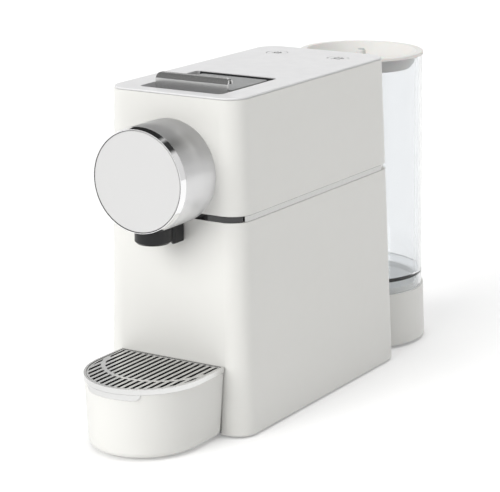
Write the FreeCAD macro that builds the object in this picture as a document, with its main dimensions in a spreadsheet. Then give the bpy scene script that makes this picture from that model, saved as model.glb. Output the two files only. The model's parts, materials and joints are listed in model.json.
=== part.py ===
import FreeCAD, Part
import Sketcher
import math
import os
import re

# Pod coffee machine.  Millimetres, +Z up, -Y is the front, +X is the right side seen from the front.
# The origin is under the middle of the whole machine, on the surface that it stands on.
# In the formulas below, y is counted from the front face of the casing, towards the back.

os.makedirs("parts", exist_ok=True)
doc = FreeCAD.newDocument("pod_coffee_machine")
sheet = doc.addObject("Spreadsheet::Sheet", "Dims")

DIMENSIONS = {
    # casing
    "front_y": -121.4, "top_z": 235.6, "top_width": 105.0, "top_depth": 212.3,
    "side_slope": 0.0251, "back_slope": 0.0527, "corner_radius": 15.0, "wall": 2.5,
    "casing_low": 1.4, "casing_edge": 1.5, "band_low": 151.4, "band_high": 155.8, "band_inset": 5.2,
    "panel_low": 234.4, "panel_edge": 0.9, "trim_depth": 1.8, "seam": 0.2,
    # base
    "plate_low": 1.9, "plate_high": 4.4, "foot_radius": 8.0, "screw_radius": 1.5,
    # front drum and spout
    "brew_z": 182.4, "drum_radius": 36.0, "drum_length": 35.0, "ring_length": 5.0, "ring_taper": 1.0,
    "drum_wall": 1.6, "disc_radius": 34.05,
    "spout_y": -22.0, "spout_radius": 12.5, "spout_low": 137.5, "block_low": 136.2,
    # lever and its recess
    "recess_half": 33.0, "recess_front": 11.5, "recess_back": 86.0, "skirt": 1.5, "skirt_low": 222.5,
    "hinge_y": 74.0, "hinge_z": 228.0, "axle_radius": 2.5, "lever_half": 29.0, "lever_front": 26.0,
    "lever_back": 83.5, "lever_low": 231.8, "lever_high": 233.8, "lip_high": 243.6, "lip_radius": 3.0,
    "lip_bend": 239.1, "lip_slope": 3.2, "lip_corner": 3.5,
    "sheet_metal": 1.6, "lever_angle": 80.0, "cam_inner": 26.0, "cam_radius": 25.0,
    "pin_radius": 2.5, "pin_far": 20.0, "slide_travel": 12.0, "slot_play": 0.3,
    # pod path and brew group
    "pod_radius": 22.0, "chute_half": 24.8, "slot_half": 23.2, "slot_front": 38.3, "slot_back": 48.7,
    "floor_back": 76.5,
    "head_radius": 29.0, "head_back": 37.0, "seat_depth": 5.0, "piston_front": 38.2, "piston_back": 52.0,
    "rod_x": 37.0, "rod_radius": 3.0, "arm_inner": 29.7, "arm_outer": 32.6, "arm_front": 50.0,
    "arm_back": 58.0, "carriage_front": 56.0, "carriage_back": 66.0, "tail_radius": 4.0,
    "tail_back": 100.0, "sleeve_front": 84.0, "sleeve_back": 122.0, "boiler_back": 168.0,
    "running": 0.05, "frame_front": 5.8,
    # buttons, pump and mains inlet
    "button_x": 26.0, "button_y": 183.0, "button_radius": 8.0, "button_gap": 0.35, "board_high": 222.0,
    "pump_z": 50.0, "gland_z": 20.0, "gland_y": 302.0, "gland_radius": 6.0, "gland_bore": 3.5,
    # drip drawer
    "tray_half": 42.3, "tray_straight": 29.7, "tray_length": 76.6, "tray_top": 51.3, "tray_low": 1.6,
    "rim_height": 3.9, "tray_step": 0.6, "tray_wall": 2.2, "tray_taper": 2.0, "tray_back": -0.6,
    "bin_half": 37.5, "bin_back": 82.0, "bin_low": 4.8, "bin_high": 46.0, "bay_half": 39.0,
    "bay_high": 47.6, "liner_wall": 1.0, "grid_low": 49.7, "grid_thick": 1.3, "grid_inset": 2.0,
    "grid_border": 3.1, "grid_pitch": 4.8, "bar_width": 2.3, "bridge_y": -14.8, "bridge_radius": 41.0,
    "bridge_width": 3.0, "ledge_low": 48.1, "ledge_high": 49.5,
    # water tank and its stand
    "tank_y": 266.6, "tank_low": 43.7, "tank_high": 226.2, "tank_bottom": 50.0, "tank_taper": 0.0145,
    "tank_wall": 2.2, "tank_floor": 56.0, "stand_radius": 52.8, "stand_taper": 0.037, "stand_low": 2.6,
    "stand_high": 43.5, "groove_radius": 53.1, "lid_high": 228.7, "lid_low": 226.4, "lid_radius": 48.0,
    "lid_plug": 44.6, "lid_plug_low": 39.0, "lid_depth": 218.0, "nozzle_radius": 8.0,
    "valve_lift": 2.8,
}
for row, (name, size) in enumerate(DIMENSIONS.items(), start=1):
    sheet.set(f"A{row}", name)
    sheet.set(f"B{row}", str(size))
    sheet.setAlias(f"B{row}", name)
doc.recompute()

SCREW_ROWS = (30, 190)
SCREW_PLACES = [(f"{x}", f"{y}") for x in (-49, 49) for y in SCREW_ROWS]
PUMP_MOUNT_ROWS = ("114", "174")
BEAM_ROWS = (4, 83, 128, 154)
SLOT_OVERRUN = 2.0      # degrees past each end of the lever's swing
SLOT_STEPS = 16
LIP_LEAN = 27.0          # degrees that the upper band of the lever's lip leans back
FOOT_PLACES = [("-42", "16"), ("42", "16"), ("-40", "204"), ("40", "204"),
               ("-30", "290"), ("30", "290")]
SUB_PARTS = []


def ex(formula):
    """The formula with each dimension's name turned into a reference to the sheet."""
    def refer(match):
        word = match.group()
        return "Dims." + word if word in DIMENSIONS else word
    return re.sub(r"[a-z][a-z0-9_]*", refer, str(formula))


def value(formula):
    """The number that a formula comes to now."""
    return float(sheet.evalExpression(ex(formula)))


def place(obj, x, y, z, turn=None):
    """Put an object at x, y, z, with y counted from the casing's front face."""
    if turn:
        axis, angle = turn
        rotation = FreeCAD.Rotation(FreeCAD.Vector(*axis), angle)
        obj.Placement = FreeCAD.Placement(FreeCAD.Vector(), rotation)
    for letter, formula in (("x", x), ("y", f"front_y + ({y})"), ("z", z)):
        obj.setExpression("Placement.Base." + letter, ex(formula))
    return obj


def block(x, y, z):
    """A box between the low and high formulas of each axis."""
    obj = doc.addObject("Part::Box", "Block")
    for side, (low, high) in (("Length", x), ("Width", y), ("Height", z)):
        obj.setExpression(side, ex(f"({high}) - ({low})"))
    return place(obj, x[0], y[0], z[0])


TURNS = {"X": ((0, 1, 0), 90), "Y": ((1, 0, 0), -90), "Z": None}


def rod(axis, at, radius, length):
    """A cylinder that starts at a point and runs along +X, +Y or +Z."""
    obj = doc.addObject("Part::Cylinder", "Rod")
    obj.setExpression("Radius", ex(radius))
    obj.setExpression("Height", ex(length))
    return place(obj, *at, turn=TURNS[axis])


def fuse(*shapes):
    obj = doc.addObject("Part::MultiFuse", "Fusion")
    obj.Shapes = list(shapes)
    return obj


def cut(base, *tools):
    obj = doc.addObject("Part::Cut", "Cut")
    obj.Base = base
    obj.Tool = tools[0] if len(tools) == 1 else fuse(*tools)
    return obj


def common(*shapes):
    obj = doc.addObject("Part::MultiCommon", "Common")
    obj.Shapes = list(shapes)
    return obj


def together(*shapes):
    """Separate solids that share one node."""
    obj = doc.addObject("Part::Compound", "Group")
    obj.Links = list(shapes)
    return obj


def rounded(base, radius, wanted):
    """Fillet the edges of base for which wanted(edge) holds."""
    doc.recompute()
    obj = doc.addObject("Part::Fillet", "Fillet")
    obj.Base = base
    numbers = [number for number, edge in enumerate(base.Shape.Edges, start=1) if wanted(edge)]
    if not numbers:
        raise RuntimeError("no edge to round on " + base.Name)
    obj.Edges = [(number, radius, radius) for number in numbers]
    return obj


def level(height):
    """A test for edges that lie flat at a height."""
    def wanted(edge):
        box = edge.BoundBox
        return abs(box.ZMin - height) < 0.01 and abs(box.ZMax - height) < 0.01
    return wanted


def upright(edge):
    """A test for straight edges along Z."""
    box = edge.BoundBox
    return box.XLength < 0.01 and box.YLength < 0.01 and box.ZLength > 0.5


def sub_part(name, obj):
    """Name a finished sub-part, and list it for export."""
    obj.Label = name
    SUB_PARTS.append(obj)
    return obj


def bind(sketch, kind, arguments, formula, name):
    """Add a sketch constraint whose size follows the sheet."""
    index = sketch.addConstraint(Sketcher.Constraint(kind, *arguments, value(formula)))
    sketch.renameConstraint(index, name)
    sketch.setExpression("Constraints." + name, ex(formula))


def plane(body, role):
    """One of a body's own origin planes or axes."""
    return next(item for item in body.Origin.OriginFeatures if item.Role == role)


def turned(name, outline, at, turn=None):
    """A body of revolution from (radius, height) corners about its own Z axis."""
    body = doc.addObject("PartDesign::Body", name)
    sketch = body.newObject("Sketcher::SketchObject", name + "_outline")
    sketch.AttachmentSupport = [(plane(body, "XZ_Plane"), "")]
    sketch.MapMode = "FlatFace"
    corners = [FreeCAD.Vector(value(radius), value(height), 0) for radius, height in outline]
    count = len(corners)
    for i in range(count):
        sketch.addGeometry(Part.LineSegment(corners[i], corners[(i + 1) % count]), False)
    for i in range(count):
        sketch.addConstraint(Sketcher.Constraint("Coincident", i, 2, (i + 1) % count, 1))
    for i, (radius, height) in enumerate(outline):
        bind(sketch, "DistanceX", (-1, 1, i, 1), radius, f"radius_{i}")
        bind(sketch, "DistanceY", (-1, 1, i, 1), height, f"height_{i}")
    spin = body.newObject("PartDesign::Revolution", name + "_turned")
    spin.Profile = sketch
    spin.ReferenceAxis = (sketch, ["V_Axis"])
    spin.Angle = 360
    sketch.Visibility = False
    return place(body, *at, turn=turn)


FORWARD = ((1, 0, 0), 90)      # the body's own Z axis points to the front


def casing_outline(height, inset):
    """The casing's rounded rectangle at a height, moved inwards."""
    half = f"top_width / 2 + side_slope * (top_z - ({height})) - ({inset})"
    back = f"top_depth + back_slope * (top_z - ({height})) - ({inset})"
    radius = f"corner_radius - ({inset})"
    sketch = doc.addObject("Sketcher::SketchObject", "CasingOutline")
    h, b, f, r = value(half), value(back), value(inset), value(radius)
    vec = FreeCAD.Vector
    centres = [vec(h - r, f + r, 0), vec(h - r, b - r, 0), vec(-h + r, b - r, 0), vec(-h + r, f + r, 0)]
    for i, centre in enumerate(centres):
        start = (i - 1) * math.pi / 2
        along = vec(math.cos(start), math.sin(start), 0) * r
        before = centres[i - 1] + along
        sketch.addGeometry(Part.LineSegment(before, centre + along), False)
        circle = Part.Circle(centre, vec(0, 0, 1), r)
        sketch.addGeometry(Part.ArcOfCircle(circle, start, start + math.pi / 2), False)
    for i in range(8):
        sketch.addConstraint(Sketcher.Constraint("Tangent", i, 2, (i + 1) % 8, 1))
    for line, direction in ((0, "Horizontal"), (2, "Vertical"), (4, "Horizontal"), (6, "Vertical")):
        sketch.addConstraint(Sketcher.Constraint(direction, line))
    for arc in (3, 5, 7):
        sketch.addConstraint(Sketcher.Constraint("Equal", 1, arc))
    bind(sketch, "Radius", (1,), radius, "radius")
    bind(sketch, "DistanceX", (-1, 1, 2, 1), half, "right")
    bind(sketch, "DistanceX", (-1, 1, 6, 1), f"-({half})", "left")
    bind(sketch, "DistanceY", (-1, 1, 0, 1), inset, "front")
    bind(sketch, "DistanceY", (-1, 1, 4, 1), back, "back")
    return place(sketch, 0, 0, height)


def loft(*outlines):
    obj = doc.addObject("Part::Loft", "Loft")
    obj.Sections = list(outlines)
    obj.Solid = True
    obj.Ruled = True
    return obj


def casing_prism(low, high, inset):
    """The casing's solid form between two heights."""
    return loft(casing_outline(low, inset), casing_outline(high, inset))


def tray_outline(height, inset):
    """The drip tray's plan: straight sides and a half-elliptical front."""
    half = f"tray_half - ({inset})"
    reach = f"tray_length - tray_straight - ({inset})"
    back = f"tray_back - ({inset})"
    sketch = doc.addObject("Sketcher::SketchObject", "TrayOutline")
    w, a, s, y = value(half), value(reach), value("tray_straight"), value(back)
    vec = FreeCAD.Vector
    oval = Part.Ellipse(vec(0, -s - a, 0), vec(w, -s, 0), vec(0, -s, 0))
    sketch.addGeometry(Part.ArcOfEllipse(oval, -math.pi / 2, math.pi / 2), False)
    sketch.addGeometry(Part.LineSegment(vec(w, -s, 0), vec(w, y, 0)), False)
    sketch.addGeometry(Part.LineSegment(vec(w, y, 0), vec(-w, y, 0)), False)
    sketch.addGeometry(Part.LineSegment(vec(-w, y, 0), vec(-w, -s, 0)), False)
    for i in range(4):
        sketch.addConstraint(Sketcher.Constraint("Coincident", i, 2, (i + 1) % 4, 1))
    sketch.exposeInternalGeometry(0)
    sketch.addConstraint(Sketcher.Constraint("Vertical", 1))
    sketch.addConstraint(Sketcher.Constraint("Vertical", 3))
    sketch.addConstraint(Sketcher.Constraint("Horizontal", 2))
    sketch.addConstraint(Sketcher.Constraint("Vertical", 4))
    bind(sketch, "DistanceX", (-1, 1, 0, 3), "0", "centre_x")
    bind(sketch, "DistanceY", (-1, 1, 0, 3), "-tray_straight", "centre_y")
    bind(sketch, "DistanceY", (-1, 1, 0, 1), "-tray_straight", "start_y")
    bind(sketch, "DistanceY", (-1, 1, 0, 2), "-tray_straight", "end_y")
    bind(sketch, "DistanceX", (-1, 1, 1, 1), half, "right")
    bind(sketch, "DistanceY", (-1, 1, 1, 2), back, "back")
    bind(sketch, "Distance", (4,), f"2 * ({reach})", "long_axis")
    return place(sketch, 0, 0, height)


def tray_prism(low, high, inset, low_inset=None):
    """The tray's solid form between two heights."""
    start = inset if low_inset is None else low_inset
    return loft(tray_outline(low, start), tray_outline(high, inset))


# ---------------------------------------------------------------- casing

def shell(low, high, edge=0.0):
    """One casing shell: thin walls, and a hollow at the back that the tank stands in."""
    outer = casing_prism(low, high, "0")
    if edge:
        outer = rounded(outer, edge, level(value(low)))
    walls = cut(outer, casing_prism(f"{low} - 0.01", f"{high} + 0.01", "wall"))
    tall = f"{high} - {low}"
    lining = common(outer, rod("Z", ("0", "tank_y", low), "groove_radius + wall", tall))
    return cut(fuse(walls, lining), rod("Z", ("0", "tank_y", low), "groove_radius", tall))


def lower_casing():
    bosses = []
    for side in (-1, 1):
        for y in SCREW_ROWS:
            x = ("45", "57") if side > 0 else ("-57", "-45")
            boss = block(x, (f"{y} - 5", f"{y} + 5"), ("plate_high + 0.1", "17"))
            pilot = rod("Z", (f"{49 * side}", y, "plate_high"), "screw_radius + 0.05", "10")
            bosses.append(cut(boss, pilot))
    bay = block(("-bay_half", "bay_half"), ("-1", "wall + 0.5"), ("0", "bay_high"))
    plate_way = block(("-30", "30"), ("200", "230"), ("0", "plate_high + 0.3"))
    hose_way = rod("Y", ("0", "200", "22"), "6", "30")
    walls = shell("casing_low", "band_low", edge=value("casing_edge"))
    sub_part("lower_casing", cut(fuse(walls, *bosses), bay, plate_way, hose_way))


def upper_casing():
    head_way = rod("Y", ("0", "-1", "brew_z"), "head_radius + 1", "5")
    sub_part("upper_casing", cut(shell("band_high", "panel_low - seam"), head_way))


def waist_ring(low, high, outer, inner):
    """A band that follows the casing's outline between two insets."""
    inside = casing_prism(f"{low} - 0.01", f"{high} + 0.01", inner)
    return cut(casing_prism(low, high, outer), inside)


def waist_frame():
    """The recessed band that joins the two casings, with cross beams that carry the brew group."""
    visible = waist_ring("band_low", "band_high", "trim_depth", "band_inset")
    tongue = waist_ring("band_low - 6", "band_high + 6", "wall + seam", "band_inset")
    bars = [block(("-60", "60"), (f"{y}", f"{y} + 8"), ("band_low", "band_high")) for y in BEAM_ROWS]
    beams = common(fuse(*bars), casing_prism("band_low", "band_high", "wall + seam + 1"))
    hollow = rod("Z", ("0", "tank_y", "band_low - 7"), "groove_radius + wall + seam", "20")
    head_way = rod("Y", ("0", "-1", "brew_z"), "head_radius + 0.6", "14")
    sub_part("waist_frame", cut(fuse(visible, tongue, beams), hollow, head_way))


def trims():
    """Strips in the recessed band: a dark one round the front, a bright one on each side."""
    def strip():
        return waist_ring("band_low + seam", "band_high - seam", "seam", "trim_depth")
    front = block(("-60", "60"), ("-1", "7.5"), ("band_low", "band_high"))
    head_way = rod("Y", ("0", "-1", "brew_z"), "head_radius + 0.6", "12")
    sub_part("front_trim_strip", cut(common(strip(), front), head_way))
    sides = [block(x, ("9", "200"), ("band_low", "band_high")) for x in (("-60", "-45"), ("45", "60"))]
    sub_part("side_trim_strips", common(strip(), fuse(*sides)))


def top_panel():
    """The cover, with the lever's recess, its skirt, the button holes and the board's posts."""
    top = value("top_z")
    cover = rounded(casing_prism("panel_low", "top_z", "seam"), value("panel_edge"), level(top))
    inner = ("-recess_half", "recess_half")
    outer = ("-recess_half - skirt", "recess_half + skirt")
    opening = block(inner, ("recess_front", "recess_back"), ("skirt_low - 1", "top_z + 1"))
    sleeve = block(outer, ("recess_front - skirt", "recess_back + skirt"), ("skirt_low", "panel_low"))
    posts = []
    for x in (-38, 38):
        for y in (174, 192):
            posts.append(rod("Z", (str(x), str(y), "board_high"), "2.5", "panel_low - board_high"))
    holes = [rod("Z", (f"{side} * button_x", "button_y", "panel_low - 1"),
                 "button_radius + button_gap", "10") for side in (-1, 1)]
    axle_way = rod("X", ("-45", "hinge_y", "hinge_z"), "axle_radius + 0.3", "90")
    body = cut(fuse(cover, sleeve, *posts), rounded(opening, 4.0, upright), axle_way, *holes)
    sub_part("top_panel", body)


# ---------------------------------------------------------------- base

def base_plate():
    inside = casing_prism("plate_low", "plate_high", "wall + seam")
    body_side = cut(inside, rod("Z", ("0", "tank_y", "0"), "groove_radius + wall + seam", "10"))
    bridge = block(("-27", "27"), ("190", "260"), ("plate_low", "plate_high"))
    disc = rod("Z", ("0", "tank_y", "plate_low"), "stand_radius - 3", "plate_high - plate_low")
    saddles = [block(("-20", "20"), (y, f"{y} + 6"), ("plate_high", "pump_z - 4"))
               for y in PUMP_MOUNT_ROWS]
    holes = []
    for x, y in SCREW_PLACES:
        holes.append(rod("Z", (x, y, "plate_low - 1"), "screw_radius + 0.1", "6"))
        holes.append(rod("Z", (x, y, "plate_low - 1"), "2 * screw_radius + 0.1", "2.3"))
    cradle = rod("Y", ("0", "99", "pump_z"), "12.02", "95")
    body = cut(fuse(body_side, bridge, disc, *saddles), *holes, cradle)
    sub_part("base_plate", body)


def feet_and_screws():
    feet = [rod("Z", (x, y, "0"), "foot_radius", "plate_low") for x, y in FOOT_PLACES]
    sub_part("rubber_feet", together(*feet))
    screws = []
    for x, y in SCREW_PLACES:
        head = rod("Z", (x, y, "plate_low + 0.1"), "2 * screw_radius", "1.1")
        shank = rod("Z", (x, y, "plate_low + 1.2"), "screw_radius", "10")
        slot = block((f"{x} - 2", f"{x} + 2"), (f"{y} - 0.4", f"{y} + 0.4"),
                     ("plate_low", "plate_low + 0.6"))
        screws.append(cut(fuse(head, shank), slot))
    sub_part("base_screws", together(*screws))


def cord_gland():
    """The hollow gland where the mains lead would enter, flush in the back of the stand."""
    flange = "gland_radius + 2.5"
    outline = [("gland_bore", "0"), ("gland_radius", "0"), ("gland_radius", "10"), (flange, "10"),
               (flange, "12.5"), ("gland_radius", "12.5"), ("gland_radius", "16.4"),
               ("gland_bore", "16.4")]
    at = ("0", "gland_y", "gland_z")
    sub_part("cord_gland", turned("cord_gland", outline, at, turn=TURNS["Y"]))


# ---------------------------------------------------------------- front drum and spout

def drum():
    axis = ("0", "0", "brew_z")
    inner = "drum_radius - drum_wall"
    shell_outline = [(inner, "0"), ("drum_radius", "0"), ("drum_radius", "drum_length"),
                     (inner, "drum_length")]
    shell_body = turned("drum_tube", shell_outline, axis, turn=FORWARD)
    spout_way = rod("Z", ("0", "spout_y", "140"), "8.3", "20")
    sub_part("drum_shell", cut(shell_body, spout_way))
    ring_front = "drum_length + ring_length"
    ring_mouth = "drum_radius - ring_taper - 0.5"
    ring_outline = [("drum_radius - 4", "drum_length + 0.2"), ("drum_radius", "drum_length + 0.2"),
                    ("drum_radius - ring_taper", ring_front), (ring_mouth, ring_front),
                    (ring_mouth, f"{ring_front} - 2"), ("drum_radius - 4", f"{ring_front} - 2")]
    sub_part("drum_ring", turned("drum_ring", ring_outline, axis, turn=FORWARD))
    disc_outline = [("0", f"{ring_front} - 1.9"), ("disc_radius", f"{ring_front} - 1.9"),
                    ("disc_radius", f"{ring_front} - 0.4"), ("disc_radius - 0.3", ring_front),
                    ("0", ring_front)]
    sub_part("face_disc", turned("face_disc", disc_outline, axis, turn=FORWARD))
    gasket_inner, gasket_outer = "disc_radius + 0.02", f"{ring_mouth} - 0.02"
    gasket = [(gasket_inner, f"{ring_front} - 1.9"), (gasket_outer, f"{ring_front} - 1.9"),
              (gasket_outer, f"{ring_front} - 0.6"), (gasket_inner, f"{ring_front} - 0.6")]
    sub_part("disc_gasket", turned("disc_gasket", gasket, axis, turn=FORWARD))


def spout():
    saddle = ("0", "-drum_length", "brew_z"), "drum_radius + seam", "drum_length + 5"
    cup_high = "brew_z - drum_radius + 6"
    outline = [("3.5", "spout_low"), ("spout_radius - 1.5", "spout_low"),
               ("spout_radius", "spout_low + 1.5"), ("spout_radius", cup_high), ("3.5", cup_high)]
    cup = turned("spout_cup", outline, ("0", "spout_y", "0"))
    stem = cut(rod("Z", ("0", "spout_y", "141"), "7.8", "15"),
               rod("Z", ("0", "spout_y", "140"), "3.5", "20"),
               rod("Y", ("0", "-drum_length", "brew_z"), "head_radius", "drum_length"))
    sub_part("spout_nozzle", fuse(cut(cup, rod("Y", *saddle)), stem))
    bridge = block(("-11.5", "11.5"), ("-15", "-0.2"), ("block_low", "153"))
    bridge = rounded(bridge, 3.0, upright)
    round_way = rod("Z", ("0", "spout_y", "130"), "spout_radius + seam", "30")
    sub_part("spout_block", cut(bridge, rod("Y", *saddle), round_way))


# ---------------------------------------------------------------- lever

def lever():
    """A bent metal plate whose grip lip leans back near its top and ends in a small curl."""
    half = ("-lever_half", "lever_half")
    plate = block(half, ("lever_front", "lever_back"), ("lever_low", "lever_high"))
    riser = block(half, ("lever_front", "lever_front + sheet_metal"), ("lever_low", "lip_bend + 0.5"))
    lean = (1, 0, 0), -LIP_LEAN
    back, up = (f"{part(math.radians(LIP_LEAN)):.5f}" for part in (math.sin, math.cos))

    def leaning(width, height, y, z):
        """A box across the lever that leans back with the lip's upper band."""
        box = doc.addObject("Part::Box", "Leaning")
        box.setExpression("Length", ex("2 * lever_half"))
        box.setExpression("Width", ex(width))
        box.setExpression("Height", ex(height))
        return place(box, "-lever_half", y, z, turn=lean)
    upper = leaning("sheet_metal", "lip_slope", "lever_front", "lip_bend")
    end_y, end_z = f"lever_front + {back} * lip_slope", f"lip_bend + {up} * lip_slope"
    centre_y, centre_z = f"{end_y} + {up} * lip_radius", f"{end_z} - {back} * lip_radius"
    tube = rod("X", ("-lever_half", centre_y, centre_z), "lip_radius", "2 * lever_half")
    bore = rod("X", ("-lever_half - 1", centre_y, centre_z), "lip_radius - sheet_metal",
               "2 * lever_half + 2")
    quarter = leaning("lip_radius", "2 * lip_radius", f"{end_y} - {back} * 2 * lip_radius",
                      f"{end_z} - {up} * 2 * lip_radius")
    below = block(("-40", "40"), ("lever_front", "lever_front + 10"),
                  (f"{centre_z} - lip_radius - 1", f"{centre_z} - 1.2"))
    curl = cut(tube, bore, quarter, below)
    corners = []
    for side in (-1, 1):
        x = ("lever_half - lip_corner", "lever_half + 1")
        if side < 0:
            x = ("-lever_half - 1", "-lever_half + lip_corner")
        box = block(x, ("lever_front - 1", "lever_front + 8"), ("lip_high - lip_corner", "lip_high + 1"))
        at = (f"{side} * (lever_half - lip_corner)", "lever_front - 2", "lip_high - lip_corner")
        corners.append(cut(box, rod("Y", at, "lip_corner", "12")))
    sub_part("lever", cut(fuse(plate, riser, upper, curl), *corners))
    mat = block(("-lever_half + 2", "lever_half - 2"), ("lever_front + 8", "lever_back - 1.5"),
                ("lever_high", "lever_high + 0.6"))
    sub_part("lever_inset", rounded(mat, 2.0, upright))


def cam_slot_wire(x):
    """The spiral slot: its radius from the hinge shrinks evenly with the angle."""
    far, angle = value("pin_far"), value("lever_angle")
    shrink = value("slide_travel") / math.radians(angle)
    half = value("pin_radius + slot_play")
    hinge = FreeCAD.Vector(x, value("front_y + hinge_y"), value("hinge_z"))

    def point(degrees, aside, ahead=0.0):
        """A point beside the spiral or ahead along it, at the pin's place for one lever angle."""
        turn = math.radians(degrees)
        out = FreeCAD.Vector(0, -math.cos(turn), -math.sin(turn))
        onward = FreeCAD.Vector(0, math.sin(turn), -math.cos(turn))
        radius = far - shrink * turn
        speed = math.hypot(radius, shrink)
        normal = (out * radius + onward * shrink) / speed
        tangent = (onward * radius - out * shrink) / speed
        return hinge + out * radius + normal * aside + tangent * ahead
    first, last = -SLOT_OVERRUN, angle + SLOT_OVERRUN
    steps = [first + (last - first) * i / SLOT_STEPS for i in range(SLOT_STEPS + 1)]
    rim, core = Part.BSplineCurve(), Part.BSplineCurve()
    rim.interpolate([point(step, half) for step in steps])
    core.interpolate([point(step, -half) for step in reversed(steps)])
    far_end = Part.Arc(point(last, half), point(last, 0, half), point(last, -half))
    near_end = Part.Arc(point(first, -half), point(first, 0, -half), point(first, half))
    return Part.Wire([rim.toShape(), far_end.toShape(), core.toShape(), near_end.toShape()])


def lever_cams():
    """Two cheeks under the lever, whose spiral slots drive the piston carriage."""
    thick = "lever_half - cam_inner"
    cheeks = []
    for low in ("cam_inner", "-lever_half"):
        disc = rod("X", (low, "hinge_y", "hinge_z"), "cam_radius", thick)
        below = block((low, f"{low} + {thick}"), ("hinge_y - cam_radius", "hinge_y + 7"),
                      ("hinge_z - cam_radius - 1", "lever_low"))
        slot = doc.addObject("Part::Feature", "CamSlot")
        face = Part.Face(cam_slot_wire(value(low) - 1))
        slot.Shape = face.extrude(FreeCAD.Vector(value(thick) + 2, 0, 0))
        bore = rod("X", (f"{low} - 1", "hinge_y", "hinge_z"), "axle_radius + running", f"{thick} + 2")
        cheeks.append(cut(common(disc, below), slot, bore))
    sub_part("lever_cams", together(*cheeks))
    sub_part("lever_axle", rod("X", ("-40", "hinge_y", "hinge_z"), "axle_radius", "80"))


# ---------------------------------------------------------------- pod path and brew group

def pod_chute():
    """The floor of the recess, with the slot that the pod drops through."""
    floor = block(("-chute_half", "chute_half"), ("recess_front - skirt", "floor_back"),
                  ("skirt_low - skirt", "skirt_low"))
    front = block(("-recess_half - skirt", "recess_half + skirt"), ("recess_front - skirt", "34"),
                  ("skirt_low - skirt", "skirt_low"))
    sleeve = block(("-chute_half", "chute_half"), ("slot_front - 1", "slot_back + 1"), ("206.5", "222"))
    slot = block(("-slot_half", "slot_half"), ("slot_front", "slot_back"), ("200", "230"))
    sub_part("pod_chute", cut(fuse(floor, front, sleeve), slot))


def drop_guide():
    outer = block(("-27", "27"), ("34", "56"), ("60", "148"))
    inner = block(("-25.4", "25.4"), ("35.6", "54.4"), ("59", "149"))
    flange = block(("-49.3", "49.3"), ("40", "50"), ("146", "148"))
    sub_part("drop_guide", cut(fuse(outer, flange), inner))


def brew_head():
    """The fixed half of the brew chamber: a block with the coffee channel, and the pod's seat ring."""
    floor = "-head_back + seat_depth"
    outline = [("0", floor), ("head_radius", floor), ("head_radius", "30"), ("12", "32"), ("0", "32")]
    head = turned("head_block", outline, ("0", "0", "brew_z"), turn=FORWARD)
    channel = rod("Y", ("0", "spout_y", "brew_z"), "2", "60")
    down = rod("Z", ("0", "spout_y", "140"), "3.5", "brew_z - 139")
    ring = [("pod_radius + 1", "-head_back"), ("head_radius", "-head_back"),
            ("head_radius", f"{floor} - running"), ("pod_radius + 1", f"{floor} - running")]
    seat = turned("seat_ring", ring, ("0", "0", "brew_z"), turn=FORWARD)
    sub_part("brew_head", together(cut(head, channel, down), seat))


def brew_frame():
    """Front and rear plates joined by side beams, with posts that carry the lever's axle."""
    front = block(("-42", "42"), ("frame_front", "10.5"), ("band_high", "208"))
    front = cut(front, rod("Y", ("0", "5", "brew_z"), "head_radius + 0.02", "8"))
    rear = block(("-42", "42"), ("sleeve_front", "sleeve_front + 6"), ("band_high", "206"))
    rear = cut(rear, rod("Y", ("0", "sleeve_front - 1", "brew_z"), "8.05", "8"))
    parts = [front, rear]
    for side in (-1, 1):
        def across(low, high, side=side):
            return (low, high) if side > 0 else (f"-({high})", f"-({low})")
        parts.append(block(across("42", "46"), ("frame_front", "sleeve_front + 6"), ("172", "192")))
        parts.append(block(across("36.5", "42.5"), ("hinge_y - 5", "hinge_y + 5"), ("189", "232")))
        parts.append(block(across("36.5", "46"), ("hinge_y - 5", "hinge_y + 5"), ("189", "192")))
    bores = [rod("X", ("-41", "hinge_y", "hinge_z"), "axle_radius + 0.02", "82")]
    for side in (-1, 1):
        at = (f"{side} * rod_x", "6", "brew_z")
        bores.append(rod("Y", at, "rod_radius + 0.02", "sleeve_front - 1"))
    sub_part("brew_frame", cut(fuse(*parts), *bores))
    rods = [rod("Y", (f"{side} * rod_x", "6.1", "brew_z"), "rod_radius", "sleeve_front - 1.2")
            for side in (-1, 1)]
    sub_part("guide_rods", together(*rods))


def piston_carriage():
    """The slide that carries the piston, with two arms up to the lever's cams."""
    depth = ("carriage_front", "carriage_back")
    plate = block(("-33", "33"), depth, ("166", "199"))
    lugs = [rod("Y", (f"{side} * rod_x", "carriage_front", "brew_z"), "4.6",
                "carriage_back - carriage_front") for side in (-1, 1)]
    webs = block(("-37", "37"), depth, ("brew_z - 3", "brew_z + 3"))
    arms = []
    for low, high in (("arm_inner", "arm_outer"), ("-arm_outer", "-arm_inner")):
        arms.append(block((low, high), ("arm_front", "carriage_back"), ("176", "199")))
        arms.append(block((low, high), ("arm_front", "arm_back"), ("198", "231.6")))
    bores = [rod("Y", (f"{side} * rod_x", "carriage_front - 1", "brew_z"), "rod_radius + running",
                 "carriage_back - carriage_front + 2") for side in (-1, 1)]
    bores.append(rod("Y", ("0", "carriage_front - 1", "brew_z"), "6.02", "20"))
    for x in ("arm_inner - 1", "-arm_outer - 1"):
        bores.append(rod("X", (x, "hinge_y - pin_far", "hinge_z"), "pin_radius + 0.02", "6"))
    sub_part("piston_carriage", cut(fuse(plate, webs, *lugs, *arms), *bores))
    pins = []
    for x in ("cam_inner - 0.5", "-arm_outer"):
        pins.append(rod("X", (x, "hinge_y - pin_far", "hinge_z"), "pin_radius",
                        "arm_outer - cam_inner + 0.5"))
    sub_part("follower_pins", together(*pins))


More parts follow.
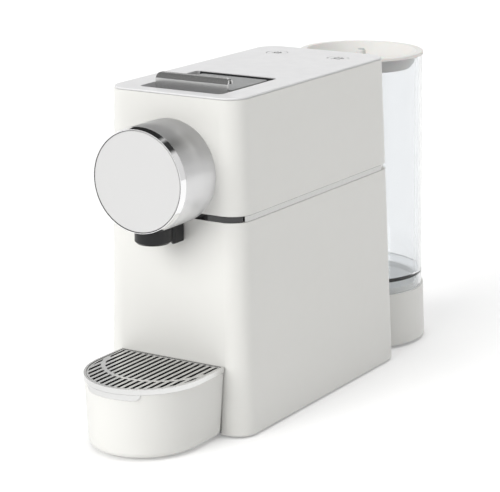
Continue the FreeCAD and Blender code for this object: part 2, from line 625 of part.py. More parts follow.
def piston():
    """The moving half of the chamber: piston with water tail, shower screen and rim gasket."""
    front, back = "-piston_front", "-piston_back"
    outline = [("1.5", "-tail_back"), ("tail_radius", "-tail_back"), ("tail_radius", "-carriage_back"),
               ("6", "-carriage_back"), ("6", f"{back}"), ("pod_radius", f"{back}"),
               ("pod_radius", "-piston_front - 4"), ("pod_radius - 2", "-piston_front - 4"),
               ("pod_radius - 2", f"{front}"), ("1.5", f"{front}")]
    sub_part("piston", turned("piston", outline, ("0", "0", "brew_z"), turn=FORWARD))
    screen = rod("Y", ("0", "piston_front - 0.6", "brew_z"), "pod_radius - 2.5", "0.6")
    holes = []
    for ring, count in ((5, 6), (10, 12), (15, 18)):
        for i in range(count):
            turn = 2 * math.pi * i / count
            x, rise = f"{ring * math.cos(turn):.4f}", f"{ring * math.sin(turn):.4f}"
            at = (x, "piston_front - 1", f"brew_z + {rise}")
            holes.append(rod("Y", at, "0.5", "2"))
    sub_part("shower_screen", cut(screen, *holes))
    gasket = [("pod_radius - 2", "-piston_front - 4"), ("pod_radius + 1", "-piston_front - 4"),
              ("pod_radius + 1", "-head_back - 0.4"), ("pod_radius - 2", "-head_back - 0.4")]
    sub_part("piston_gasket", turned("piston_gasket", gasket, ("0", "0", "brew_z"), turn=FORWARD))


def boiler():
    block_part = block(("-26", "26"), ("sleeve_back", "boiler_back"), ("162", "204"))
    block_part = rounded(block_part, 5.0, lambda edge: edge.BoundBox.YLength > 40)
    feet = [block(("-20", "20"), (f"{y}", f"{y} + 6"), ("band_high", "163")) for y in (129, 155)]
    fins = [block((f"{x}", f"{x} + 2"), ("sleeve_back + 4", "boiler_back - 4"), ("203", "209"))
            for x in range(-21, 22, 8)]
    inlet = rod("Y", ("0", "boiler_back - 1", "brew_z"), "4", "9")
    ways = rod("Y", ("0", "sleeve_back - 1", "brew_z"), "2", "60")
    sub_part("boiler", cut(fuse(block_part, inlet, *feet, *fins), ways))
    sleeve = [("tail_radius + running", "-sleeve_back"), ("8", "-sleeve_back"), ("8", "-sleeve_front"),
              ("tail_radius + running", "-sleeve_front")]
    sub_part("boiler_sleeve", turned("boiler_sleeve", sleeve, ("0", "0", "brew_z"), turn=FORWARD))
    sub_part("thermostat", fuse(rod("Z", ("0", "145", "209"), "8", "5"),
                                block(("-9", "9"), ("142", "148"), ("209", "210.5"))))


# ---------------------------------------------------------------- pump, hoses and electrics

def pump():
    outline = [("2", "0"), ("4", "0"), ("4", "6"), ("9", "6"), ("9", "22"), ("14", "22"), ("14", "66"),
               ("9", "66"), ("9", "80"), ("4", "80"), ("4", "86"), ("2", "86")]
    sub_part("pump", turned("pump", outline, ("0", "104", "pump_z"), turn=TURNS["Y"]))
    coil = block(("-19", "19"), ("129", "167"), ("pump_z - 19", "pump_z + 19"))
    coil = rounded(coil, 4.0, lambda edge: edge.BoundBox.YLength > 30)
    sub_part("pump_coil", cut(coil, rod("Y", ("0", "120", "pump_z"), "14.02", "50")))
    mounts = []
    for y in PUMP_MOUNT_ROWS:
        bore = rod("Y", ("0", f"{y} - 1", "pump_z"), "9.02", "8")
        mounts.append(cut(rod("Y", ("0", y, "pump_z"), "12", "6"), bore))
    sub_part("pump_mounts", together(*mounts))


def flow_meter():
    can = rod("Z", ("38", "206", "14"), "10", "16")
    inlet = rod("X", ("26", "206", "22"), "3", "4")
    outlet = rod("Z", ("38", "206", "29"), "3", "7")
    leg = rod("Z", ("38", "206", "plate_high"), "6", "10")
    sub_part("flow_meter", fuse(can, inlet, outlet, leg))


def hose(name, route, radius):
    """A hose along straight runs that are joined by tangent arcs, with a clear bore."""
    points = [FreeCAD.Vector(value(x), value(f"front_y + ({y})"), value(z)) for x, y, z in route]
    edges, start = [], points[0]
    for before, corner, after in zip(points, points[1:], points[2:]):
        back, on = (before - corner), (after - corner)
        run = min(back.Length, on.Length)
        back.normalize()
        on.normalize()
        reach = 0.45 * run
        first, last = corner + back * reach, corner + on * reach
        turn = math.pi - back.getAngle(on)
        bend = reach / math.tan(turn / 2)
        bisector = (back + on).normalize()
        middle = corner + bisector * (bend / math.cos(turn / 2) - bend)
        edges.append(Part.LineSegment(start, first).toShape())
        edges.append(Part.Arc(first, middle, last).toShape())
        start = last
    edges.append(Part.LineSegment(start, points[-1]).toShape())
    path = Part.Wire(edges)
    heading = points[1] - points[0]
    tubes = [path.makePipeShell([Part.Wire(Part.makeCircle(size, points[0], heading))], True, False)
             for size in (radius, radius - 1.0)]
    obj = doc.addObject("Part::Feature", name)
    obj.Shape = tubes[0].cut(tubes[1])
    return sub_part(name, obj)


def hoses():
    """Water runs from the stand to the flow meter, the pump and the boiler; cables join the boards."""
    hose("tank_hose", [("0", "tank_y - 9.9", "22"), ("0", "206", "22"), ("26", "206", "22")], 3.0)
    hose("pump_inlet_hose", [("38", "206", "36"), ("38", "206", "pump_z"), ("0", "206", "pump_z"),
                             ("0", "190", "pump_z")], 3.0)
    hose("pressure_hose", [("0", "104", "pump_z"), ("0", "88", "pump_z"), ("36", "88", "66"),
                           ("36", "100", "124"), ("36", "182", "130"), ("36", "192", "brew_z"),
                           ("0", "192", "brew_z"), ("0", "boiler_back + 8", "brew_z")], 3.0)
    hose("button_cable", [("-42", "150", "140"), ("-42", "150", "172"), ("-36", "180", "200"),
                          ("-36", "180", "board_high - 1.6")], 1.8)
    hose("pump_cable", [("-44", "150", "66"), ("-44", "150", "pump_z"), ("-19", "150", "pump_z")], 1.8)


def electrics():
    board = block(("-47", "-45.4"), ("104", "186"), ("66", "140"))
    chips = [block(("-45.4", "-37"), ("112", "130"), ("76", "94")),
             block(("-45.4", "-33"), ("140", "166"), ("74", "98")),
             block(("-45.4", "-40"), ("112", "124"), ("108", "126"))]
    cans = [rod("X", ("-45.4", y, "118"), "5", "11") for y in ("140", "154", "170")]
    cable_block = block(("-47", "-40"), ("145", "155"), ("66", "70"))
    top_block = block(("-47", "-38"), ("145", "155"), ("136", "140"))
    clips = [block(("-54.1", "-46"), (y, f"{y} + 4"), ("62", "70")) for y in ("108", "178")]
    sub_part("control_board", fuse(board, cable_block, top_block, *chips, *cans, *clips))
    panel = block(("-42", "42"), ("172", "195"), ("board_high - 1.6", "board_high"))
    switches = []
    for side in (-1, 1):
        switches.append(block((f"{side} * button_x - 3", f"{side} * button_x + 3"),
                              ("button_y - 3", "button_y + 3"), ("board_high", "board_high + 2")))
    sub_part("button_board", fuse(panel, *switches))


def buttons():
    flange, flange_high = "button_radius + 1.6", "panel_low - 0.3"
    for side, name in ((-1, "button_left"), (1, "button_right")):
        outline = [("0", "board_high + 3.4"), ("2.5", "board_high + 3.4"), ("2.5", "panel_low - 1.8"),
                   (flange, "panel_low - 1.8"), (flange, flange_high), ("button_radius", flange_high),
                   ("button_radius", "top_z - 0.4"), ("button_radius - 0.5", "top_z"), ("0", "top_z")]
        sub_part(name, turned(name, outline, (f"{side} * button_x", "button_y", "0")))


# ---------------------------------------------------------------- drip drawer

def drip_drawer():
    """The tray in front and the bin box behind it, in one moulding."""
    shell_part = tray_prism("tray_low", "tray_top - rim_height", "tray_step", "tray_step + tray_taper")
    shell_part = rounded(shell_part, 5.0, level(value("tray_low")))
    basin = tray_prism("tray_low + 3", "tray_top", "tray_step + tray_wall",
                       "tray_step + tray_wall + tray_taper")
    outer = block(("-bin_half", "bin_half"), ("tray_back - 4", "bin_back"), ("bin_low", "bin_high"))
    inner = block(("-bin_half + 1.8", "bin_half - 1.8"), ("tray_back - 0.6", "bin_back - 1.8"),
                  ("bin_low + 1.8", "bin_high + 1"))
    sub_part("drip_drawer", fuse(cut(shell_part, basin), cut(outer, inner)))


def basin_liner():
    """The dark basin that lies in the drawer's front and catches the drips."""
    low, high = "tray_low + 3.05", "tray_top - rim_height + 0.4"
    outer_inset, back = "tray_step + tray_wall + 0.2", "tray_back - 4.1"
    inner_inset = f"{outer_inset} + liner_wall"
    outer = tray_prism(low, high, outer_inset, f"{outer_inset} + tray_taper")
    inner = tray_prism(f"{low} + liner_wall", f"{high} + 0.1",
                       inner_inset, f"{inner_inset} + tray_taper")
    behind = block(("-60", "60"), (back, "5"), ("0", "60"))
    inner_behind = block(("-60", "60"), (f"{back} - liner_wall", "5"), ("0", "60"))
    sub_part("basin_liner", cut(outer, behind, cut(inner, inner_behind)))


def used_pod_container():
    outer = block(("-bin_half + 2.3", "bin_half - 2.3"), ("tray_back", "bin_back - 2.3"),
                  ("bin_low + 1.8", "bin_high + 1.2"))
    outer = rounded(outer, 4.0, upright)
    inner = block(("-bin_half + 3.8", "bin_half - 3.8"), ("tray_back + 1.5", "bin_back - 3.8"),
                  ("bin_low + 3.5", "bin_high + 3"))
    sub_part("used_pod_container", cut(outer, rounded(inner, 3.0, upright)))


def tray_rim():
    low = "tray_top - rim_height"
    band = cut(tray_prism(low, "tray_top", "0"), tray_prism(f"{low} - 0.1", "tray_top + 0.1", "1.4"))
    ledge = cut(tray_prism("ledge_low", "ledge_high", "1.2"),
                tray_prism("ledge_low - 0.1", "ledge_high + 0.1", "3"))
    sub_part("tray_rim", fuse(band, ledge))
    tab_low = f"{low} - 4"
    strip = cut(tray_prism(tab_low, low, "0"), tray_prism(f"{tab_low} - 0.1", f"{low} + 0.1", "1.8"))
    front = block(("-21", "21"), ("-90", "-50"), (tab_low, low))
    bottom = value(low) - 1
    sloped = rounded(front, 3.6, lambda edge: edge.BoundBox.YLength > 20 and edge.BoundBox.ZMax < bottom)
    walls = tray_prism("tray_low", low, "tray_step - 0.02", "tray_step + tray_taper - 0.02")
    sub_part("thumb_tab", cut(common(strip, sloped), walls))


def drip_grid():
    """The cup grid: a border, a curved bridge across the front, and bars along Y."""
    low, high = "grid_low", "grid_low + grid_thick"
    around = ("grid_low - 0.1", "grid_low + grid_thick + 0.1")
    border = cut(tray_prism(low, high, "grid_inset"), tray_prism(*around, "grid_border"))
    centre = ("0", "bridge_y", low)
    bridge = cut(rod("Z", centre, "bridge_radius", "grid_thick"),
                 rod("Z", ("0", "bridge_y", "grid_low - 1"), "bridge_radius - bridge_width", "4"))
    front = block(("-60", "60"), ("-90", "bridge_y - 6"), (low, high))
    bars = []
    for i in range(-8, 8):
        x = f"{i + 0.5} * grid_pitch"
        bars.append(block((f"{x} - bar_width / 2", f"{x} + bar_width / 2"), ("-90", "5"), (low, high)))
    inside = tray_prism(low, high, "grid_border - 0.1")
    sub_part("drip_grid", fuse(border, common(inside, fuse(*bars, common(bridge, front)))))


# ---------------------------------------------------------------- tank, lid, valve and stand

def tank_stand():
    """The stand's skirt, and the plate in its top whose rim centres the tank."""
    top_radius = "stand_radius - stand_taper * stand_high"
    skin = [("stand_radius - wall", "stand_low"), ("stand_radius", "stand_low"),
            (top_radius, "stand_high"), (f"{top_radius} - wall", "stand_high")]
    hose_way = rod("Y", ("0", "205", "22"), "6", "30")
    gland_way = rod("Y", ("0", "gland_y", "gland_z"), "gland_radius + 0.05", "30")
    plate_way = block(("-27.3", "27.3"), ("205", "230"), ("0", "plate_high + 0.3"))
    skirt = cut(turned("stand_skirt", skin, ("0", "tank_y", "0")), hose_way, gland_way, plate_way)
    edge = f"{top_radius} - wall - running"
    top = [("10", "stand_high - wall"), (edge, "stand_high - wall"), (edge, "stand_high"),
           ("46.5", "stand_high"), ("46.5", "stand_high + 4"), ("44.5", "stand_high + 4"),
           ("44.5", "stand_high"), ("10", "stand_high")]
    sub_part("tank_stand", together(skirt, turned("stand_top", top, ("0", "tank_y", "0"))))


def tank_socket():
    """The cup in the stand that the tank's nozzle plugs into, with the post that opens the valve."""
    mouth = "nozzle_radius + 2.5"
    outline = [("0", "19"), ("9.9", "19"), ("9.9", "stand_high"), ("14", "stand_high"), ("14", "50"),
               (mouth, "50"), (mouth, "45"), ("1.4", "45"), ("1.4", "46.8"), ("0", "46.8")]
    cup = turned("socket_cup", outline, ("0", "tank_y", "0"))
    ways = [rod("Z", (f"{x}", "tank_y", "22"), "1.5", "30") for x in (-4, 4)]
    cross = rod("X", ("-6", "tank_y", "22"), "2.2", "12")
    out = rod("Y", ("0", "254", "22"), "2", "tank_y - 254")
    sub_part("tank_socket", cut(cup, *ways, cross, out))
    seal_inner, seal_outer = "nozzle_radius + running", "nozzle_radius + 2.48"
    seal = [(seal_inner, "46"), (seal_outer, "46"), (seal_outer, "49.5"), (seal_inner, "49.5")]
    sub_part("socket_seal", turned("socket_seal", seal, ("0", "tank_y", "0")))


def water_tank():
    """Clear tank: tapered wall, raised floor and the nozzle that plugs into the stand."""
    def outer(height):
        return f"tank_bottom - tank_taper * ({height} - tank_low)"
    outline = [("3", "46"), ("nozzle_radius", "46"), ("nozzle_radius", "tank_floor - 3"),
               (f"{outer('tank_floor')} - tank_wall", "tank_floor - 3"),
               ("tank_bottom - tank_wall", "tank_low"), ("tank_bottom", "tank_low"),
               (outer("tank_high"), "tank_high"), (f"{outer('tank_high')} - tank_wall", "tank_high"),
               (f"{outer('tank_floor')} - tank_wall", "tank_floor"), ("3", "tank_floor")]
    sub_part("water_tank", turned("water_tank", outline, ("0", "tank_y", "0")))
    strainer = [("10", "tank_floor"), ("11", "tank_floor"), ("11", "70"), ("0", "70"), ("0", "69"),
                ("10", "69")]
    dome = turned("strainer_dome", strainer, ("0", "tank_y", "0"))
    slots = []
    for i in range(6):
        slot = doc.addObject("Part::Box", "StrainerSlot")
        slot.Length, slot.Width, slot.Height = 14, 1.6, 8
        place(slot, "0", "tank_y", "tank_floor + 2.5", turn=((0, 0, 1), 60 * i))
        slots.append(slot)
    sub_part("strainer", cut(dome, *slots))


def tank_valve():
    lift = "tank_floor + valve_lift"
    head = f"{lift} + 2"
    outline = [("0", "47"), ("2", "47"), ("2", lift), ("6.5", lift), ("6.5", head), ("0", head)]
    sub_part("tank_valve", turned("tank_valve", outline, ("0", "tank_y", "0")))
    base = value(lift) + 2
    coil = doc.addObject("Part::Helix", "ValveCoil")
    coil.Radius, coil.Pitch = 4, 1.85
    coil.Height = 69 - base - 1.4
    wire = doc.addObject("Part::Circle", "ValveWire")
    wire.Radius = 0.4
    place(coil, "0", "tank_y", f"{lift} + 2.7")
    place(wire, "4", "tank_y", f"{lift} + 2.7", turn=((1, 0, 0), 90))
    spring = doc.addObject("Part::Sweep", "ValveSpring")
    spring.Sections, spring.Spine = [wire], (coil, [])
    spring.Solid, spring.Frenet = True, True
    sub_part("valve_spring", spring)


def tank_lid():
    """Dished lid with a tapered plug that drops into the tank and a small centre knob."""
    outline = [("0", "lid_depth - 1.8"), ("lid_plug_low - 1", "lid_depth - 1.8"),
               ("lid_plug_low", "lid_depth - 0.8"), ("lid_plug", "lid_low"), ("lid_radius", "lid_low"),
               ("lid_radius", "lid_high - 0.5"), ("lid_radius - 0.5", "lid_high"),
               ("lid_plug - 1.6", "lid_high"), ("lid_plug_low - 2.2", "lid_depth"), ("6", "lid_depth"),
               ("3.8", "lid_depth + 1.5"), ("3.4", "lid_high - 0.4"), ("2.6", "lid_high + 0.4"),
               ("0", "lid_high + 0.4")]
    sub_part("tank_lid", turned("tank_lid", outline, ("0", "tank_y", "0")))


# ---------------------------------------------------------------- build, check and write

ASSEMBLY = (
    lower_casing, upper_casing, waist_frame, trims, top_panel,
    base_plate, feet_and_screws, cord_gland,
    drum, spout,
    lever, lever_cams,
    pod_chute, drop_guide, brew_head, brew_frame, piston_carriage, piston, boiler,
    pump, flow_meter, hoses, electrics, buttons,
    drip_drawer, basin_liner, used_pod_container, tray_rim, drip_grid,
    tank_stand, tank_socket, water_tank, tank_valve, tank_lid,
)
for make in ASSEMBLY:
    make()
doc.recompute()

failed = [obj.Label for obj in doc.Objects if "Invalid" in obj.State or "Error" in obj.State]
for part in SUB_PARTS:
    if part.Shape.isNull() or not part.Shape.isValid() or part.Shape.Volume <= 0:
        failed.append(part.Label + " (shape)")
if failed:
    raise RuntimeError("failed objects: " + ", ".join(failed))

for part in SUB_PARTS:
    part.Shape.exportStep("parts/" + part.Label + ".step")
    count, volume = len(part.Shape.Solids), part.Shape.Volume / 1000
    print(f"{part.Label:20s} solids {count:2d}  volume {volume:8.2f} cm3")
print(len(SUB_PARTS), "sub-parts")
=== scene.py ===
import json
import math

import bmesh
import bpy
from mathutils import Matrix, Vector

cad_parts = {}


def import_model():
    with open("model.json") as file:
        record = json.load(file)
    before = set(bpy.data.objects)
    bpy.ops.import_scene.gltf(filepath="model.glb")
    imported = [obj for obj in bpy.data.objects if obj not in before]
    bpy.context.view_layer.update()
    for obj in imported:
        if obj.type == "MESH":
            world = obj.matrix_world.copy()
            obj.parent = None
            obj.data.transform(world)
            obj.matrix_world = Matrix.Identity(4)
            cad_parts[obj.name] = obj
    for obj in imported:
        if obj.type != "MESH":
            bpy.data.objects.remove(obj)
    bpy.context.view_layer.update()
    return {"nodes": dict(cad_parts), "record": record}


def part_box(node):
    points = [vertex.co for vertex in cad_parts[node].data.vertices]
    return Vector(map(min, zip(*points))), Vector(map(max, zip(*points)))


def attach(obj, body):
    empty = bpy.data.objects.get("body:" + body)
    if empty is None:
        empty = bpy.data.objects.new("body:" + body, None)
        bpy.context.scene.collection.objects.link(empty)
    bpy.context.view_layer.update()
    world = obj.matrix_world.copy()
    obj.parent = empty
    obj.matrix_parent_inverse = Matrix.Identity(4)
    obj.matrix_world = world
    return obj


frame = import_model()
nodes = frame["nodes"]

MM = 0.001
NOISE_ROUGHNESS = 0.55
CLOUD_SCALE, SMEAR_SCALE = 14.0, 90.0           # features per metre in the colour and the roughness
ROUGHNESS_SPREAD, CLEAR_SPREAD = 0.12, 0.4      # how far roughness drifts, as a share of itself


# ---------------------------------------------------------------- node helpers

class Tree:
    """A small wrapper that adds and links nodes in one node tree."""

    def __init__(self, tree):
        self.tree = tree
        self.tree.nodes.clear()

    def add(self, kind, **values):
        node = self.tree.nodes.new(kind)
        for name, value in values.items():
            setattr(node, name, value)
        return node

    def feed(self, socket, value):
        """Link an output into a socket, or set the socket's own value."""
        if isinstance(value, bpy.types.NodeSocket):
            self.tree.links.new(value, socket)
        elif value is not None:
            socket.default_value = value

    def math(self, operation, a, b):
        node = self.add("ShaderNodeMath", operation=operation)
        for socket, value in zip(node.inputs, (a, b)):
            self.feed(socket, value)
        return node.outputs[0]

    def ramp(self, value, low, high, start=0.0, end=1.0):
        """value moved smoothly from start at low to end at high."""
        node = self.add("ShaderNodeMapRange", interpolation_type="SMOOTHSTEP")
        settings = {"Value": value, "From Min": low, "From Max": high,
                    "To Min": start, "To Max": end}
        for name, number in settings.items():
            self.feed(node.inputs[name], number)
        return node.outputs["Result"]

    def noise(self, where, scale, detail=3.0):
        """Smooth noise with scale features per metre."""
        node = self.add("ShaderNodeTexNoise")
        self.feed(node.inputs["Vector"], where)
        node.inputs["Scale"].default_value = scale
        node.inputs["Detail"].default_value = detail
        node.inputs["Roughness"].default_value = NOISE_ROUGHNESS
        return node.outputs["Fac"]

    def uneven(self, noise, level, spread):
        """level, drifting by a share of itself with the noise."""
        return self.ramp(noise, 0.3, 0.7, level * (1.0 - spread), level * (1.0 + spread))

    def tint(self, factor, dark, light):
        """A colour between dark and light."""
        node = self.add("ShaderNodeMix", data_type="RGBA")
        self.feed(node.inputs[0], factor)
        node.inputs[6].default_value = (*dark, 1.0)
        node.inputs[7].default_value = (*light, 1.0)
        return node.outputs[2]

    def places(self, stretch=(1.0, 1.0, 1.0)):
        """The object's own coordinates in metres, stretched."""
        where = self.add("ShaderNodeTexCoord").outputs["Object"]
        node = self.add("ShaderNodeMapping")
        node.inputs["Scale"].default_value = stretch
        self.feed(node.inputs["Vector"], where)
        return node.outputs["Vector"]


def shaded(colour, share):
    """The colour darkened to a share of itself."""
    return tuple(channel * share for channel in colour)


def material(name, colour, roughness, metallic=0.0, grain=1800.0, depth=0.02,
             stretch=(1.0, 1.0, 1.0), mottle=0.03, coat=0.0, edge=0.25, pattern=None, about=None,
             **sockets):
    """A Principled material with fine grain, uneven roughness, colour drift and softened edges.

    grain is the number of grains per metre, depth their height in millimetres, and edge the
    radius of the worn edges in millimetres.  mottle is the share of the colour that drifts.
    about is the axis that the brushed lines of a turned part run round.
    """
    made = bpy.data.materials.new(name)
    made.use_nodes = True
    tree = Tree(made.node_tree)
    shader = tree.add("ShaderNodeBsdfPrincipled")
    output = tree.add("ShaderNodeOutputMaterial")
    tree.feed(output.inputs["Surface"], shader.outputs["BSDF"])
    plain = tree.places()
    fine = tree.noise(tree.places(stretch), grain)
    clouds = tree.noise(plain, CLOUD_SCALE, detail=5.0)
    smear_stretch = tuple(0.05 + 0.95 * share for share in stretch)     # less than the grain's
    smears = tree.noise(tree.places(smear_stretch), SMEAR_SCALE, detail=4.0)
    tree.feed(shader.inputs["Base Color"], tree.tint(clouds, shaded(colour, 1.0 - mottle), colour))
    tree.feed(shader.inputs["Roughness"], tree.uneven(smears, roughness, ROUGHNESS_SPREAD))
    shader.inputs["Metallic"].default_value = metallic
    shader.inputs["Coat Weight"].default_value = coat
    for socket, value in sockets.items():
        shader.inputs[socket.replace("_", " ")].default_value = value
    if about:
        turned = tree.add("ShaderNodeTangent", direction_type="RADIAL", axis=about)
        tree.feed(shader.inputs["Tangent"], turned.outputs["Tangent"])
    height = fine if pattern is None else pattern(tree, plain, fine)
    bump = tree.add("ShaderNodeBump")
    bump.inputs["Strength"].default_value = 1.0
    bump.inputs["Distance"].default_value = depth * MM
    tree.feed(bump.inputs["Height"], height)
    if edge:
        bevel = tree.add("ShaderNodeBevel", samples=4)
        bevel.inputs["Radius"].default_value = edge * MM
        tree.feed(bump.inputs["Normal"], bevel.outputs["Normal"])
    tree.feed(shader.inputs["Normal"], bump.outputs["Normal"])
    return made


def knurl(tree, plain, fine):
    """Small round dimples in rows, as on a moulded grip mat."""
    cells = tree.add("ShaderNodeTexVoronoi", feature="F1", voronoi_dimensions="2D")
    tree.feed(cells.inputs["Vector"], plain)
    cells.inputs["Scale"].default_value = 900.0
    cells.inputs["Randomness"].default_value = 0.0
    dimples = tree.ramp(cells.outputs["Distance"], 0.15, 0.5)
    return tree.math("ADD", dimples, tree.math("MULTIPLY", fine, 0.2))


def clear_plastic(name, colour, roughness):
    """Clear moulded plastic that lets the light of lamps through."""
    made = bpy.data.materials.new(name)
    made.use_nodes = True
    tree = Tree(made.node_tree)
    shader = tree.add("ShaderNodeBsdfPrincipled")
    plain = tree.places()
    shader.inputs["Base Color"].default_value = (*colour, 1.0)
    shader.inputs["Transmission Weight"].default_value = 1.0
    shader.inputs["IOR"].default_value = 1.49
    waves = tree.noise(plain, 22.0, detail=2.0)
    tree.feed(shader.inputs["Roughness"], tree.uneven(waves, roughness, CLEAR_SPREAD))
    bump = tree.add("ShaderNodeBump")
    bump.inputs["Strength"].default_value = 0.25
    bump.inputs["Distance"].default_value = 0.2 * MM
    tree.feed(bump.inputs["Height"], waves)
    tree.feed(shader.inputs["Normal"], bump.outputs["Normal"])
    veil = tree.add("ShaderNodeBsdfTransparent")
    veil.inputs["Color"].default_value = (*shaded(colour, 0.97), 1.0)
    lamps = tree.add("ShaderNodeLightPath").outputs["Is Shadow Ray"]
    mix = tree.add("ShaderNodeMixShader")
    output = tree.add("ShaderNodeOutputMaterial")
    tree.feed(mix.inputs[0], lamps)
    tree.feed(mix.inputs[1], shader.outputs["BSDF"])
    tree.feed(mix.inputs[2], veil.outputs["BSDF"])
    tree.feed(output.inputs["Surface"], mix.outputs["Shader"])
    return made


# ---------------------------------------------------------------- materials

AROUND_Y = (0.02, 1.0, 0.02)       # grain lines that run round a part turned about Y
ALONG_X = (0.01, 1.0, 1.0)         # grain lines that run along X
ALONG_Y = (1.0, 0.01, 1.0)

MATERIALS = {}


def keep(name, *values, **named):
    """Make a material and file it under its own name."""
    MATERIALS[name] = material(name, *values, **named)


keep("shell_white", (0.665, 0.663, 0.642), 0.42, depth=0.012, mottle=0.015, edge=0.4, coat=0.12,
     Coat_Roughness=0.25)
keep("panel_white", (0.64, 0.64, 0.648), 0.36, depth=0.008, mottle=0.012, edge=0.3)
keep("disc_white", (0.54, 0.54, 0.542), 0.4, depth=0.006, mottle=0.01, edge=0.3)
keep("black_plastic", (0.012, 0.012, 0.013), 0.12, depth=0.004, coat=0.5)
keep("dark_plastic", (0.010, 0.010, 0.011), 0.42, depth=0.02, mottle=0.2, edge=0.4,
     Specular_IOR_Level=0.35)
keep("grey_plastic", (0.42, 0.43, 0.43), 0.5, depth=0.02, mottle=0.05)
keep("lid_plastic", (0.66, 0.655, 0.64), 0.38, depth=0.01, mottle=0.02, edge=0.5,
     Subsurface_Weight=0.15, Subsurface_Scale=0.004)
keep("mat_grey", (0.38, 0.385, 0.39), 0.5, depth=0.25, mottle=0.05, pattern=knurl, metallic=0.3)
keep("chrome_trim", (0.86, 0.86, 0.865), 0.06, metallic=1.0, grain=300.0, depth=0.002, mottle=0.02)
keep("trim_satin", (0.52, 0.52, 0.51), 0.16, metallic=1.0, grain=3000.0, depth=0.003,
     stretch=ALONG_Y, mottle=0.05)
keep("satin_metal", (0.76, 0.76, 0.765), 0.38, metallic=1.0, grain=5200.0, depth=0.003,
     stretch=AROUND_Y, mottle=0.04, about="Y", Anisotropic=0.95, Anisotropic_Rotation=0.25)
keep("steel_bright", (0.74, 0.74, 0.735), 0.24, metallic=1.0, grain=4200.0, depth=0.004,
     stretch=ALONG_X, mottle=0.06, edge=0.3)
keep("cast_alloy", (0.55, 0.55, 0.56), 0.45, metallic=1.0, grain=900.0, depth=0.05, mottle=0.15)
keep("rubber_black", (0.025, 0.025, 0.026), 0.75, grain=1200.0, depth=0.03, mottle=0.2)
keep("silicone_red", (0.42, 0.08, 0.05), 0.5, depth=0.02, mottle=0.1)
keep("hose_silicone", (0.72, 0.72, 0.69), 0.4, depth=0.01, mottle=0.05,
     Subsurface_Weight=0.4, Subsurface_Scale=0.003)
keep("board_green", (0.02, 0.14, 0.055), 0.35, grain=700.0, depth=0.02, mottle=0.35)
MATERIALS["clear_tank"] = clear_plastic("clear_tank", (0.86, 0.873, 0.885), 0.035)

OWN_MATERIAL = {"face_disc": "disc_white"}      # nodes that differ from the rest of their slot


def dress_frame():
    """Give every CAD node the material of its slot, or its own."""
    for entry in frame["record"]["subparts"]:
        name = entry["node"]
        chosen = MATERIALS[OWN_MATERIAL.get(name, entry["material_slot"])]
        for slot in nodes[name].material_slots:
            slot.material = chosen


dress_frame()


# ---------------------------------------------------------------- detail pieces

TURNED_STEPS = 48        # sides of a turned piece
ARC_STEPS = 10           # straight lengths in an arc of a printed line
# radius and height over the knob, in millimetres, from the cap's lower edge to its middle
CAP_PROFILE = ((2.55, -0.9), (2.75, -0.7), (2.75, 0.1), (2.4, 0.45), (1.2, 0.6), (0.0, 0.62))


def piece(name, builder, body, slot):
    """A new mesh object from a bmesh, which rides on a body and takes its slot's material."""
    data = bpy.data.meshes.new(name)
    builder.normal_update()
    builder.to_mesh(data)
    builder.free()
    data.materials.append(MATERIALS[slot])
    made = bpy.data.objects.new(name, data)
    bpy.context.collection.objects.link(made)
    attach(made, body)
    return made


def ribbon(builder, points, width, height):
    """A raised flat stroke with square ends along points, standing on its lower face."""
    half = width / 2
    sides = []
    for i, point in enumerate(points):
        before, after = points[max(i - 1, 0)], points[min(i + 1, len(points) - 1)]
        along = (after - before).normalized()
        aside = Vector((-along.y, along.x, 0.0)) * half
        lift = Vector((0.0, 0.0, height))
        sides.append([builder.verts.new(corner) for corner in
                      (point - aside, point + aside, point + aside + lift, point - aside + lift)])
    for one, two in zip(sides, sides[1:]):
        for k in range(4):
            builder.faces.new((one[k], one[(k + 1) % 4], two[(k + 1) % 4], two[k]))
    builder.faces.new(sides[0][::-1])
    builder.faces.new(sides[-1])


def arc(centre, radius, start, end, squash=1.0):
    """Points of a flat arc from one angle to another in degrees, squashed along Y."""
    points = []
    for i in range(ARC_STEPS + 1):
        angle = math.radians(start + (end - start) * i / ARC_STEPS)
        spoke = Vector((math.cos(angle), math.sin(angle) * squash, 0.0))
        points.append(centre + spoke * radius)
    return points


def cup_icon(side, tall):
    """A generic printed cup, small or large, with its handle, saucer and steam."""
    low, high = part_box(f"button_{side}")
    centre = Vector(((low[0] + high[0]) / 2, (low[1] + high[1]) / 2, high[2]))
    wide = (3.1 if tall else 2.5) * MM           # half the width of the cup's rim
    deep = (4.0 if tall else 2.8) * MM           # about the cup's own depth
    line, print_height = 0.8 * MM, 0.04 * MM
    builder = bmesh.new()
    rim = centre + Vector((0.0, deep * 0.35, 0.0))
    left, right = rim - Vector((wide, 0.0, 0.0)), rim + Vector((wide, 0.0, 0.0))
    belly = rim - Vector((0.0, deep * 0.45, 0.0))
    bowl = arc(belly, wide * 0.86, 180, 360, squash=deep * 0.62 / wide)
    ribbon(builder, [left, *bowl, right, left], line, print_height)
    ear = rim + Vector((wide * 1.02, -deep * 0.34, 0.0))
    ribbon(builder, arc(ear, wide * 0.42, 80, -80), line, print_height)
    saucer = centre + Vector((0.0, -deep * 0.95, 0.0))
    reach = Vector((wide * 1.25, 0.0, 0.0))
    ribbon(builder, [saucer - reach, saucer, saucer + reach], line, print_height)
    for shift in (-0.45, 0.45):
        foot = rim + Vector((wide * shift, 1.0 * MM, 0.0))
        steam = [foot + Vector((0.3 * MM * math.sin(k * math.pi / 3), k * 0.4 * MM, 0.0))
                 for k in range(6)]
        ribbon(builder, steam, line * 0.8, print_height)
    piece(f"cup_mark_{side}", builder, f"button_{side}", "dark_plastic")


